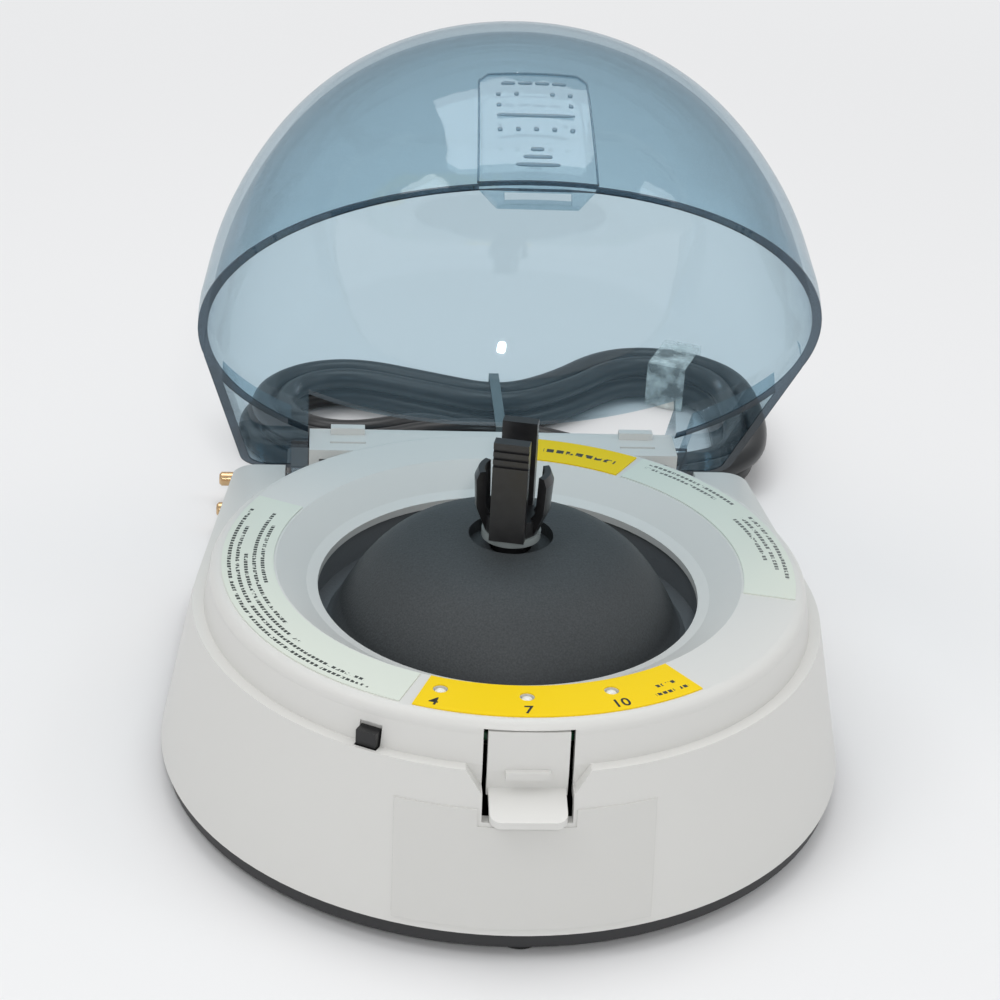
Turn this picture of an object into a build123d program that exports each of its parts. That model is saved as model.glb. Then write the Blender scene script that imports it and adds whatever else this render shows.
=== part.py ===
from build123d import *
import math
import os

os.makedirs("parts", exist_ok=True)

# Small bench centrifuge with a smoked dome lid standing open. Millimetres, +Z up, front towards -Y.
# The origin is on the rotor axis, in the plane that the feet stand on.

# General clearances
running_gap = 0.4          # between pieces that move past each other
fit_gap = 0.03             # shafts and pins in their bores
seat_gap = 0.05            # pressed and screwed pieces in their seats

# Body shell
wall = 2.5
foot_height = 2.4
skirt_bottom = 6.0
skirt_radius = 80.0
skirt_taper = 12.0         # degrees off upright
ledge_height = 41.6        # the closed lid's rim rests here
skirt_flank_angle = 3.4    # degrees that the sides draw in behind the round front, at the bottom
ledge_flank_angle = 6.8    # and at the ledge
ledge_rear = 66.5
ledge_corner_radius = 6.0
skirt_corner_radius = 10.0

taper_run = (ledge_height - skirt_bottom) * math.tan(math.radians(skirt_taper))
ledge_radius = skirt_radius - taper_run
skirt_rear = ledge_rear + taper_run

# Deck and bowl
lid_seat_gap = 0.4
lid_wall = 2.2
deck_height = 50.9
deck_top_radius = 66.0
deck_edge_drop = 2.9       # height of the rounding round the deck
deck_edge_radius = 68.6
bowl_radius = 53.5
bowl_foot_radius = 46.5
bowl_foot_drop = 4.9
lip_inner_radius = 43.9
lip_inner_drop = 5.9
lip_underside_drop = 7.7
deck_radius = ledge_radius - lid_wall - lid_seat_gap
deck_underside = deck_height - wall

# Hinge and the rear block between the lid's arms
pivot_y = 71.0
pivot_z = 33.1
lid_open_angle = 49.8
pin_radius = 2.0
boss_radius = 5.5
block_half_width = 46.5
block_height = 50.2
block_top_rear = 67.3
block_rear = 77.5
block_shoulder_drop = 7.2
block_front = 56.0         # inside face of the block's hollow, behind the bowl
arm_thickness = 4.3
slot_outer_gap = 1.3
slot_front = 58.0
slot_floor = 26.0

# Lid
dome_height = 68.5
dome_power_side = 2.95
dome_power_top = 1.64
ear_height = 7.8
ear_roof = 2.3
ear_rear = 78.5
ear_corner_radius = 8.0
ear_edge_round = 2.0
rear_rim_rise = 9.9        # the dome's rear rim clears the block
pad_proud = 0.9
pad_half_width_rim = 12.4
pad_half_width_top = 11.5
pad_height = 30.4
tab_drop = 4.6
tab_half_width_tip = 8.5
catch_half_width = 7.0
catch_height = 3.0
catch_sill = 0.9

# Latch
tongue_half_width = 8.5
tongue_slot = 1.0
tongue_top = 48.9
tongue_face = 69.3
tongue_thickness = 2.0
tongue_foot = 34.2
lip_reach = 78.3
lip_tip_top = 33.4
lip_thickness = 1.6
lip_half_width = 8.1
rib_half_width = 4.7
rib_low = 38.5
rib_high = 40.4
rib_proud = 1.3
lip_window_floor = 30.6
notch_half_width = 13.0
notch_half_width_floor = 9.7
notch_depth = 4.9
latch_axis_height = 49.3

# Lid switch plunger in the ledge, left of the latch
plunger_azimuth = -28.0    # degrees from the front, towards the left
plunger_radius = 70.0
plunger_depth = 2.8
plunger_width = 4.6
plunger_proud = 3.6
plunger_head = 11.2
plunger_stem_radius = 1.1
plunger_stem_circle = 69.2
plunger_foot = 30.2
switch_top = 26.0
switch_height = 8.0
switch_width = 13.0
switch_depth = 5.8
spring_radius = 1.9

# Bowl cover over the motor
cover_wall = 2.2
cover_top = 58.5
cover_edge_radius = 40.5
cover_drop = 21.9
cover_power = 4.0
cover_floor = 34.6
cover_side_radius = 45.5
cover_flange_radius = 53.2
cover_flange_thickness = 2.0
recess_radius = 9.7
recess_depth = 3.1
shaft_hole_radius = 4.8

# Drive hub on the motor shaft
hub_turn = -13.0
shaft_radius = 2.5
shaft_top = 62.0
shaft_foot = 8.2
hub_sleeve_radius = 4.0
hub_sleeve_foot = 53.5
washer_radius = 6.8
washer_low = 58.2
washer_high = 60.0
hub_base_radius = 6.2
hub_base_top = 64.0
blade_width = 8.0
blade_thickness = 3.0
blade_offset = 6.0
blade_top = 84.5
groove_depth = 0.6
groove_height = 0.8
groove_pitch = 1.9
finger_top = 75.0
finger_outer = 9.0
finger_sweep = 56.0

# Motor and its carrier
motor_radius = 17.5
motor_wall = 1.5
motor_foot = 12.0
motor_top = 46.0
end_cap_thickness = 2.5
bearing_radius = 5.5
bearing_width = 3.2
bearing_boss_radius = 7.0
bearing_boss_height = 3.0
rotor_radius = 12.0
carrier_radius = 28.0
carrier_thickness = 2.0
isolator_height = 4.0
isolator_radius = 4.3
standoff_radius = 3.5
standoff_circle = 23.0
motor_screw_circle = 12.0

# Screws, all M3 but the small ones on the display board
screw_radius = 1.5
screw_hole = 1.7
screw_head_radius = 2.8
screw_head_height = 1.5
small_screw_radius = 0.8
small_head_radius = 1.7
small_head_height = 1.2

# Base plate, feet and the bosses that the base screws go into
base_inset = 1.0
base_floor = 2.2
base_rim = 2.0
boss_xy = 42.5
housing_boss_radius = 3.5
base_screw_length = 8.0
foot_radius = 4.75
foot_stem_radius = 2.0
front_foot_y = -72.0
rear_foot_xy = 61.5

# Circuit boards
board_thickness = 1.6
board_half_length = 32.0
board_front = 38.0
board_rear = 60.5
board_height = 11.0
board_post_radius = 2.5
board_post_x = 28.0
board_post_inset = 3.5
display_inner = 54.5
display_outer = 63.5
display_height = 43.6
lamp_circle = 58.2
lamp_radius = 1.5
lamp_azimuths = (-18.0, 0.0, 18.0)
display_screw_azimuths = (-9.0, 27.0)
display_screw_circle = 61.0

# Labels: thin printed film on the deck and one bare film on the skirt
label_thickness = 0.3
sticker_half_width = 27.5
sticker_low = 7.5
sticker_high = 33.5

# Rear face controls and cord entry
rocker_x = -22.0
rocker_z = 26.0
rocker_half_width = 8.0
rocker_half_height = 5.0
rocker_depth = 16.0
bezel_margin = 2.3
bezel_proud = 1.4
rocker_tilt = 9.0
button_x = 4.0
button_z = 26.0
button_radius = 4.0
button_proud = 3.0
button_travel = 1.2
button_case_radius = 5.2
button_flange_radius = 6.6
button_case_depth = 12.0
cord_x = 30.0
cord_z = 16.0
cord_radius = 3.1
relief_root_radius = 6.2
relief_tip_radius = 4.4
relief_length = 28.0
relief_flange_radius = 8.0
relief_flange = 2.0
relief_neck_radius = 5.5
relief_neck = 6.0


# Small helpers
def rod(radius, low, high, x=0.0, y=0.0):
    return Pos(x, y, (low + high) / 2) * Cylinder(radius, high - low)


def ring(outer, inner, low, high, x=0.0, y=0.0):
    return rod(outer, low, high, x, y) - rod(inner, low - 1, high + 1, x, y)


def rod_x(radius, left, right, y, z):
    return Pos((left + right) / 2, y, z) * Rot(0, 90, 0) * Cylinder(radius, right - left)


def rod_y(radius, front, rear, x, z):
    return Pos(x, (front + rear) / 2, z) * Rot(90, 0, 0) * Cylinder(radius, rear - front)


def slab(x0, x1, y0, y1, z0, z1):
    return Pos((x0 + x1) / 2, (y0 + y1) / 2, (z0 + z1) / 2) * Box(x1 - x0, y1 - y0, z1 - z0)


def outline_face(edges):
    return Face(Wire(edges))


def polygon_x(points, x0, x1):
    corners = [(x0, y, z) for y, z in points]
    face = outline_face(Polyline(*corners, close=True).edges())
    return extrude(face, amount=x1 - x0, dir=(1, 0, 0))


def polygon_y(points, y0, y1):
    corners = [(x, y0, z) for x, z in points]
    face = outline_face(Polyline(*corners, close=True).edges())
    return extrude(face, amount=y1 - y0, dir=(0, 1, 0))


def turned(points):
    face = outline_face(Polyline(*[(r, 0, z) for r, z in points], close=True).edges())
    return revolve(face, Axis.Z, 360)


def from_front(radius, azimuth):
    angle = math.radians(azimuth)
    return radius * math.sin(angle), -radius * math.cos(angle)


def sector(inner, outer, start, end, low, high):
    middle = (start + end) / 2
    a, b, c = (Vector(*from_front(inner, t), low) for t in (start, middle, end))
    d, e, f = (Vector(*from_front(outer, t), low) for t in (end, middle, start))
    face = outline_face([ThreePointArc(a, b, c), Line(c, d), ThreePointArc(d, e, f), Line(f, a)])
    return extrude(face, amount=high - low, dir=(0, 0, 1))


def both_sides(shape):
    return shape + mirror(shape, Plane.YZ)


def separate(shapes):
    return Compound(children=[solid for shape in shapes for solid in shape.solids()])


def about_pivot(angle):
    return Pos(0, pivot_y, pivot_z) * Rot(angle, 0, 0) * Pos(0, -pivot_y, -pivot_z)


def write(name, shape):
    solids = shape.solids()
    whole = solids[0] if len(solids) == 1 else Compound(children=list(solids))
    export_step(whole, "parts/" + name + ".step")


# Plan of the body: a round front whose sides draw in towards a straight rear edge with round corners
def plan(radius, flank_angle, rear, corner, height):
    flank = math.radians(flank_angle)
    touch = Vector(radius * math.cos(flank), radius * math.sin(flank), height)
    along = Vector(-math.sin(flank), math.cos(flank), 0)
    corner_point = touch + along * ((rear - touch.Y) / along.Y)
    left_touch = Vector(-touch.X, touch.Y, height)
    left_corner = Vector(-corner_point.X, corner_point.Y, height)
    setback = corner * math.tan(math.radians(90 - flank_angle) / 2)
    before = corner_point - along * setback
    after = corner_point - Vector(setback, 0, 0)
    centre = before - Vector(math.cos(flank), math.sin(flank), 0) * corner
    out = (corner_point - centre).normalized() * corner
    bulge = centre + out
    left = [Vector(-p.X, p.Y, height) for p in (before, bulge, after)]
    return outline_face([
        ThreePointArc(left_touch, Vector(0, -radius, height), touch),
        Line(touch, before),
        ThreePointArc(before, bulge, after),
        Line(after, left[2]),
        ThreePointArc(left[2], left[1], left[0]),
        Line(left[0], left_touch),
    ]), left_corner


def body_plan(height, inset):
    share = (height - skirt_bottom) / (ledge_height - skirt_bottom)
    flank = skirt_flank_angle + (ledge_flank_angle - skirt_flank_angle) * share
    corner = skirt_corner_radius + (ledge_corner_radius - skirt_corner_radius) * share
    radius = skirt_radius - taper_run * share
    rear = skirt_rear - taper_run * share
    return plan(radius - inset, flank, rear - inset, corner - inset, height)[0]


def body_block(low, high, inset):
    return loft([body_plan(low, inset), body_plan(high, inset)], ruled=True)


ledge_underside = ledge_height - wall
deck_inner_radius = deck_radius - wall
body_outside = body_block(skirt_bottom, ledge_height, 0)

# Rear block profile, seen from the side
block_shoulder = block_height - block_shoulder_drop


def block_solid(half_width, inset, front, foot):
    top = block_height - inset
    rear = block_rear - inset
    start = Vector(-half_width, block_top_rear - inset / 2, top)
    end = Vector(-half_width, rear, block_shoulder - inset / 2)
    middle = start + (end - start) / 2 + Vector(0, 1, 1) * (1.6 * block_shoulder_drop / 7.2)
    a = Vector(-half_width, front, foot)
    b = Vector(-half_width, front, top)
    c = Vector(-half_width, rear, foot)
    face = outline_face([Line(a, b), Line(b, start), ThreePointArc(start, middle, end), Line(end, c), Line(c, a)])
    return extrude(face, amount=2 * half_width, dir=(1, 0, 0))


# Upper housing: skirt, ledge, deck with its bowl, rear block and hinge slots in one moulding
slot_half_width = block_half_width + running_gap + arm_thickness + slot_outer_gap
bowl_foot = deck_height - bowl_foot_drop
lip_underside = deck_height - lip_underside_drop
bowl_slope = bowl_foot_drop / (bowl_radius - bowl_foot_radius)
bowl_back_radius = bowl_foot_radius + 1.6
bowl_back = bowl_foot - 1.9
bowl_back_top = bowl_back_radius + (deck_underside - bowl_back) / bowl_slope

deck_side = turned([(deck_inner_radius, ledge_underside), (deck_radius, ledge_underside),
                    (deck_radius, ledge_height), (deck_edge_radius, deck_height - deck_edge_drop),
                    (deck_edge_radius - wall, deck_height - deck_edge_drop - 0.5)])
edge_start = Vector(deck_edge_radius, 0, deck_height - deck_edge_drop)
edge_middle = Vector(deck_edge_radius - 0.7, 0, deck_height - 0.85)
edge_end = Vector(deck_top_radius, 0, deck_height)
deck_points = [(deck_top_radius, deck_height), (bowl_radius, deck_height), (bowl_foot_radius, bowl_foot),
               (lip_inner_radius, deck_height - lip_inner_drop), (lip_inner_radius, lip_underside),
               (bowl_back_radius - 1.0, lip_underside), (bowl_back_radius, bowl_back),
               (bowl_back_top, deck_underside), (deck_edge_radius - wall - 0.8, deck_underside),
               (deck_edge_radius - wall, deck_height - deck_edge_drop - 0.5),
               (deck_edge_radius, deck_height - deck_edge_drop)]
deck_line = Polyline(*[(r, 0, z) for r, z in deck_points])
deck_face = outline_face([ThreePointArc(edge_start, edge_middle, edge_end)] + list(deck_line.edges()))
deck = revolve(deck_face, Axis.Z, 360) + deck_side

skirt = body_outside - body_block(skirt_bottom, ledge_underside, wall)
skirt = skirt - rod(deck_inner_radius, ledge_underside - 1, ledge_height + 1)
shell = skirt + deck + block_solid(block_half_width, 0, slot_front, skirt_bottom)

slot_liner = slab(block_half_width - wall, slot_half_width + wall, slot_front - wall, block_rear,
                  slot_floor - wall, ledge_height) & body_outside
latch_liner = slab(-notch_half_width - wall, notch_half_width + wall, -skirt_radius, -deck_inner_radius,
                   ledge_height - notch_depth - wall, ledge_height) & body_outside
shell = shell + both_sides(slot_liner) + latch_liner
shell = shell - block_solid(block_half_width - wall, wall, block_front, skirt_bottom - 1)

# Bosses inside the housing
pin_seat_inner = block_half_width - 9.0
pin_seats = both_sides(rod_x(boss_radius, pin_seat_inner, block_half_width, pivot_y, pivot_z))
housing_screw_places = [(x, y) for x in (-boss_xy, boss_xy) for y in (-boss_xy, boss_xy)]
plate_top = foot_height + base_floor
bosses = [rod(housing_boss_radius, plate_top, deck_underside + 1, x, y) for x, y in housing_screw_places]
cover_screw_circle = cover_side_radius + cover_wall + 2.9
cover_screw_places = [from_front(cover_screw_circle, a) for a in (60.0, 180.0, 300.0)]
bosses += [rod(2.3, lip_underside, bowl_back + 2.7, x, y) for x, y in cover_screw_places]
display_places = [from_front(display_screw_circle, a) for a in display_screw_azimuths]
display_top = display_height + board_thickness
bosses += [rod(1.9, display_top, deck_underside + 1, x, y) for x, y in display_places]
for boss in bosses:
    shell = shell + boss
shell = shell + pin_seats

# Openings and holes in the housing
hinge_slot = slab(block_half_width, slot_half_width, slot_front, block_rear + 20, slot_floor, block_height + 20)
shell = shell - both_sides(hinge_slot)
pin_hole = rod_x(pin_radius + seat_gap, pin_seat_inner + 1, block_half_width + 1, pivot_y, pivot_z)
shell = shell - both_sides(pin_hole)
for x, y in housing_screw_places:
    shell = shell - rod(screw_radius + seat_gap, plate_top - 1, plate_top + base_screw_length + 2, x, y)
for x, y in cover_screw_places:
    shell = shell - rod(small_screw_radius + seat_gap, lip_underside - 1, lip_underside + 2.2, x, y)
for x, y in display_places:
    shell = shell - rod(small_screw_radius + seat_gap, display_top - 1, display_top + 3.0, x, y)
lamp_places = [from_front(lamp_circle, azimuth) for azimuth in lamp_azimuths]
for x, y in lamp_places:
    shell = shell - rod(lamp_radius + 0.1, deck_underside - 1, deck_height + 1, x, y)

notch = polygon_y([(-notch_half_width, ledge_height + 0.01), (-notch_half_width_floor, ledge_height - notch_depth),
                   (notch_half_width_floor, ledge_height - notch_depth), (notch_half_width, ledge_height + 0.01)],
                  -skirt_radius - 5, -deck_radius / 2)
notch = notch - rod(deck_radius, skirt_bottom, deck_height)
tongue_opening = tongue_half_width + tongue_slot
tongue_window = slab(-tongue_opening, tongue_opening, -skirt_radius - 5, -deck_inner_radius + 4,
                     lip_window_floor, latch_axis_height)
shell = shell - notch - tongue_window

plunger_pocket = slab(-plunger_width / 2 - 0.3, plunger_width / 2 + 0.3,
                      -plunger_radius - plunger_depth / 2 - 0.3, -plunger_radius + plunger_depth / 2 + 0.3,
                      ledge_underside - 6, ledge_height + plunger_proud + 1.0)
plunger_pocket = Rot(0, 0, plunger_azimuth) * plunger_pocket
shell = shell - plunger_pocket

rocker_case = slab(rocker_x - rocker_half_width - 1, rocker_x + rocker_half_width + 1,
                   block_rear - rocker_depth, block_rear, rocker_z - rocker_half_height - 1,
                   rocker_z + rocker_half_height + 1)
shell = shell - slab(rocker_x - rocker_half_width - 1 - seat_gap, rocker_x + rocker_half_width + 1 + seat_gap,
                     block_rear - wall - 1, block_rear + 1, rocker_z - rocker_half_height - 1 - seat_gap,
                     rocker_z + rocker_half_height + 1 + seat_gap)
shell = shell - rod_y(button_case_radius + seat_gap, block_rear - wall - 1, block_rear + 1, button_x, button_z)
shell = shell - rod_y(relief_neck_radius + seat_gap, block_rear - wall - 1, block_rear + 1, cord_x, cord_z)
for groove_x in (-36.8, 36.8):
    shell = shell - slab(groove_x - 4.5, groove_x + 4.5, 62.0, 63.0, block_height - 0.5, block_height + 1)
    shell = shell + slab(groove_x - 4.3, groove_x + 4.3, 67.0, 69.3, block_height - 2.0, block_height + 1.8)
upper_housing = shell
write("upper_housing", upper_housing)

# Latch tongue: bends at its top edge, with a catch rib and a lip to press
tongue_body = polygon_x([(1 - tongue_face, tongue_top), (-tongue_face, rib_high - 0.4), (-tongue_face, tongue_foot),
                         (tongue_thickness - tongue_face, tongue_foot),
                         (tongue_thickness - tongue_face, rib_high - 0.4),
                         (tongue_thickness + 0.9 - tongue_face, tongue_top)],
                        -tongue_half_width, tongue_half_width)
lip_root_top = ledge_height - notch_depth - 0.4
lip_body = polygon_x([(1 - tongue_face, lip_root_top), (-lip_reach, lip_tip_top),
                      (-lip_reach, lip_tip_top - lip_thickness), (-tongue_face, tongue_foot),
                      (1 - tongue_face, tongue_foot)], -lip_half_width, lip_half_width)
tip_edges = lip_body.edges().filter_by(Axis.Z).sort_by(Axis.Y)[:2]
lip_body = fillet(tip_edges, 2.5)
catch_rib = slab(-rib_half_width, rib_half_width, -tongue_face - rib_proud, 1 - tongue_face, rib_low, rib_high)
latch_tongue = tongue_body + lip_body + catch_rib
write("latch_tongue", latch_tongue)

# Interlock plunger, its spring and the lid switch below it
plunger_top = ledge_height + plunger_proud
head_foot = plunger_top - plunger_head
plunger = slab(-plunger_width / 2, plunger_width / 2, -plunger_radius - plunger_depth / 2,
               -plunger_radius + plunger_depth / 2, head_foot, plunger_top)
plunger = plunger + rod(plunger_stem_radius, plunger_foot, head_foot, 0, -plunger_stem_circle)
write("interlock_plunger", Rot(0, 0, plunger_azimuth) * plunger)
plunger_spring = ring(spring_radius, plunger_stem_radius + 0.2, switch_top, head_foot, 0, -plunger_stem_circle)
write("plunger_spring", Rot(0, 0, plunger_azimuth) * plunger_spring)
switch_body = slab(-switch_width / 2, switch_width / 2, -plunger_stem_circle - switch_depth / 2,
                   -plunger_stem_circle + switch_depth / 2, switch_top - switch_height, switch_top)
write("lid_switch", Rot(0, 0, plunger_azimuth) * switch_body)

# Bowl cover: dull black dome over the motor, with its own floor and side wall
cover_outer = [(recess_radius + (cover_edge_radius - recess_radius) * t) for t in
               (0, 0.25, 0.45, 0.6, 0.72, 0.82, 0.91, 1.0)]


def cover_height(radius):
    return cover_top - cover_drop * (radius / cover_edge_radius) ** cover_power


recess_floor = cover_top - recess_depth
outer_curve = Spline(*[(r, 0, cover_height(r)) for r in cover_outer])
side_step = 1.6
inner_start = cover_edge_radius - side_step
inner_radii = [inner_start - (inner_start - recess_radius - cover_wall) * t for t in
               (0, 0.09, 0.18, 0.28, 0.4, 0.55, 0.75, 1.0)]
inner_curve = Spline(*[(r, 0, cover_height(r + side_step) - cover_wall) for r in inner_radii])
inner_foot = inner_curve.position_at(0)
inner_end = inner_curve.position_at(1)
flange_foot = lip_underside - cover_flange_thickness
cover_outside = Polyline((cover_edge_radius, 0, cover_height(cover_edge_radius)),
                         (cover_edge_radius + 1.5, 0, cover_floor), (cover_side_radius, 0, cover_floor),
                         (cover_side_radius, 0, lip_underside), (cover_flange_radius, 0, lip_underside),
                         (cover_flange_radius, 0, flange_foot),
                         (cover_side_radius + cover_wall, 0, flange_foot),
                         (cover_side_radius + cover_wall, 0, cover_floor - cover_wall),
                         (inner_foot.X + 0.4, 0, cover_floor - cover_wall), inner_foot)
cover_centre = Polyline(inner_end, (inner_end.X, 0, recess_floor - cover_wall),
                        (shaft_hole_radius, 0, recess_floor - cover_wall), (shaft_hole_radius, 0, recess_floor),
                        (recess_radius, 0, recess_floor), (recess_radius, 0, cover_height(recess_radius)))
cover_face = outline_face([outer_curve] + list(cover_outside.edges()) + [inner_curve] + list(cover_centre.edges()))
bowl_cover = revolve(cover_face, Axis.Z, 360)
for x, y in cover_screw_places:
    bowl_cover = bowl_cover - rod(small_screw_radius + 0.2, flange_foot - 1, lip_underside + 1, x, y)
write("bowl_cover", bowl_cover)
cover_screws = [rod(small_head_radius, flange_foot - small_head_height, flange_foot, x, y)
                + rod(small_screw_radius, flange_foot, lip_underside + 1.8, x, y) for x, y in cover_screw_places]
write("bowl_cover_screws", separate(cover_screws))

# Drive hub: two tall spring blades, two side fingers, on a sleeve over the shaft
hub = rod(hub_base_radius, washer_high, hub_base_top) + rod(hub_sleeve_radius, hub_sleeve_foot, washer_high)
blade = slab(-blade_width / 2, blade_width / 2, -blade_offset - blade_thickness / 2,
             -blade_offset + blade_thickness / 2, washer_high, blade_top)
for step in range(3):
    groove_top = blade_top - 1.4 - step * groove_pitch
    blade = blade - slab(-blade_width, blade_width, -blade_offset - blade_thickness,
                         -blade_offset - blade_thickness / 2 + groove_depth, groove_top - groove_height, groove_top)
finger_profile = [(4.8, washer_high), (hub_base_radius, washer_high), (finger_outer - 0.4, 66.0),
                  (finger_outer, 73.0), (finger_outer - 0.8, finger_top), (finger_outer - 2.2, finger_top),
                  (6.4, 66.0), (4.8, 63.5)]
finger_face = outline_face(Polyline(*[(r, 0, z) for r, z in finger_profile], close=True).edges())
finger = Rot(0, 0, -finger_sweep / 2) * revolve(finger_face, Axis.Z, finger_sweep)
hub = hub + blade + Rot(0, 0, 180) * blade + finger + Rot(0, 0, 180) * finger
hub = hub - rod(shaft_radius, hub_sleeve_foot - 1, shaft_top) - rod(screw_radius + 0.05, shaft_top - 1, hub_base_top + 1)
write("drive_hub", Rot(0, 0, hub_turn) * hub)
write("hub_washer", ring(washer_radius, hub_sleeve_radius, washer_low, washer_high))
hub_screw = rod(screw_head_radius, hub_base_top, hub_base_top + 2.0) + rod(screw_radius, shaft_top - 7, hub_base_top)
write("hub_screw", hub_screw - slab(-2.2, 2.2, -0.35, 0.35, hub_base_top + 1.2, hub_base_top + 3))
write("motor_shaft", rod(shaft_radius, shaft_foot, shaft_top) - rod(screw_radius, shaft_top - 7, shaft_top + 1))

# Motor
can_inside = motor_top - motor_wall
boss_top = motor_top + bearing_boss_height
top_bearing = boss_top - 0.8 - bearing_width
can = ring(motor_radius, motor_radius - motor_wall, motor_foot, can_inside)
can = can + rod(motor_radius, can_inside, motor_top) + rod(bearing_boss_radius, can_inside - 1, boss_top)
can = can - rod(bearing_radius, can_inside - 2, top_bearing + bearing_width) - rod(3.4, motor_foot, boss_top + 1)
motor_screw_places = [(-motor_screw_circle, 0), (motor_screw_circle, 0)]
for x, y in motor_screw_places:
    can = can - rod(screw_radius, can_inside - 1, motor_top + 1, x, y)
write("motor_can", can)
cap_foot = motor_foot - end_cap_thickness
bottom_bearing = cap_foot
end_cap = rod(motor_radius, cap_foot, motor_foot) + rod(bearing_boss_radius, cap_foot - 1.2, motor_foot + 1.5)
end_cap = end_cap - rod(bearing_radius, bottom_bearing, motor_foot + 2) - rod(3.4, cap_foot - 2, motor_foot + 3)
write("motor_end_cap", end_cap)
bearing_bore = shaft_radius + fit_gap
bearings = [ring(bearing_radius, bearing_bore, low, low + bearing_width) for low in (bottom_bearing, top_bearing)]
write("motor_bearings", separate(bearings))
write("motor_rotor", ring(rotor_radius, shaft_radius, motor_foot + 4, can_inside - 3))
carrier_top = motor_top + carrier_thickness
standoff_places = [from_front(standoff_circle, a) for a in (0.0, 120.0, 240.0)]
carrier = ring(carrier_radius, bearing_boss_radius + 0.1, motor_top, carrier_top)
for x, y in standoff_places + motor_screw_places:
    carrier = carrier - rod(screw_hole, motor_top - 1, carrier_top + 1, x, y)
write("motor_carrier_plate", carrier)
standoff_top = motor_top - isolator_height
standoffs = []
for x, y in standoff_places:
    standoff = rod(standoff_radius, plate_top, standoff_top, x, y)
    standoff = standoff - rod(screw_radius, standoff_top - 9, standoff_top + 1, x, y)
    standoffs.append(standoff - rod(screw_radius, plate_top - 1, plate_top + base_screw_length, x, y))
write("motor_standoffs", separate(standoffs))
isolators = [ring(isolator_radius, screw_hole, standoff_top, motor_top, x, y) for x, y in standoff_places]
write("rubber_isolators", separate(isolators))


def screw(x, y, seat, length):
    head = rod(screw_head_radius, seat, seat + screw_head_height + 0.4, x, y)
    cross = slab(x - 1.7, x + 1.7, y - 0.3, y + 0.3, seat + 1.2, seat + 3)
    return head + rod(screw_radius, seat - length, seat, x, y) - cross


write("carrier_screws", separate([screw(x, y, carrier_top, 13.0) for x, y in standoff_places]))
write("motor_screws", separate([screw(x, y, carrier_top, 3.2) for x, y in motor_screw_places]))

# Base plate: dark tray with screw pockets, a post for the lid switch and posts for the main board
base = extrude(body_plan(skirt_bottom, base_inset), amount=foot_height - skirt_bottom, dir=(0, 0, 1))
base = base - extrude(body_plan(skirt_bottom, base_inset + base_rim), amount=plate_top - skirt_bottom, dir=(0, 0, 1))
base_screw_places = housing_screw_places + standoff_places
pocket_top = foot_height + 1.6
for x, y in base_screw_places:
    base = base - rod(screw_head_radius + 0.3, foot_height - 1, pocket_top, x, y)
    base = base - rod(screw_hole, foot_height - 1, plate_top + 1, x, y)
foot_places = [(0, front_foot_y), (-rear_foot_xy, rear_foot_xy), (rear_foot_xy, rear_foot_xy)]
for x, y in foot_places:
    base = base - rod(foot_stem_radius + seat_gap, foot_height - 1, plate_top + 1, x, y)
switch_post = slab(-5, 5, -plunger_stem_circle - 2.2, -plunger_stem_circle + 2.2, plate_top - 0.5,
                   switch_top - switch_height)
base = base + Rot(0, 0, plunger_azimuth) * switch_post
board_screw_places = [(x, y) for x in (-board_post_x, board_post_x)
                      for y in (board_front + board_post_inset, board_rear - board_post_inset)]
for x, y in board_screw_places:
    post = rod(board_post_radius, plate_top - 0.5, board_height, x, y)
    base = base + (post - rod(screw_radius, board_height - 4, board_height + 1, x, y))
write("base_plate", base)
base_screws = []
for x, y in base_screw_places:
    head = rod(screw_head_radius, pocket_top - screw_head_height, pocket_top, x, y)
    head = head - slab(x - 1.7, x + 1.7, y - 0.3, y + 0.3, pocket_top - 3, pocket_top - 1.0)
    base_screws.append(head + rod(screw_radius, pocket_top, plate_top + base_screw_length - 1, x, y))
write("base_screws", separate(base_screws))
feet = []
for x, y in foot_places:
    foot = rod(foot_radius, 0, foot_height, x, y) + rod(foot_stem_radius, foot_height, plate_top + 1.0, x, y)
    feet.append(foot)
write("feet", separate(feet))

# Main board with its parts
board_top = board_height + board_thickness
board = slab(-board_half_length, board_half_length, board_front, board_rear, board_height, board_top)
for x, y in board_screw_places:
    board = board - rod(screw_hole, board_height - 1, board_top + 1, x, y)
write("main_board", board)
write("board_screws", separate([screw(x, y, board_top, 4.5) for x, y in board_screw_places]))
write("board_transformer", slab(-19, -3, 42, 58, board_top, board_top + 13))
capacitors = [rod(4.5, board_top, board_top + 11, 4, y) for y in (44.0, 54.5)]
write("board_capacitors", separate(capacitors))
connector = slab(12, 22, 42, 57, board_top, board_top + 8)
for y in (45.5, 49.5, 53.5):
    connector = connector - rod(1.1, board_top + 4, board_top + 9, 17, y)
write("board_connector", connector)

# Display board under the front label, with three lamps
display = sector(display_inner, display_outer, -24, 34, display_height, display_top)
for x, y in display_places:
    display = display - rod(small_screw_radius + 0.2, display_height - 1, display_top + 1, x, y)
write("display_board", display)
display_screws = [rod(small_head_radius, display_height - small_head_height, display_height, x, y)
                  + rod(small_screw_radius, display_height, display_top + 2.6, x, y) for x, y in display_places]
write("display_screws", separate(display_screws))
lamp_straight = deck_height - lamp_radius + 0.2 - display_top
lamps = []
for x, y in lamp_places:
    dome_end = Pos(x, y, display_top + lamp_straight) * Sphere(lamp_radius)
    lamps.append(rod(lamp_radius, display_top, display_top + lamp_straight, x, y) + dome_end)
write("indicator_lamps", separate(lamps))

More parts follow.
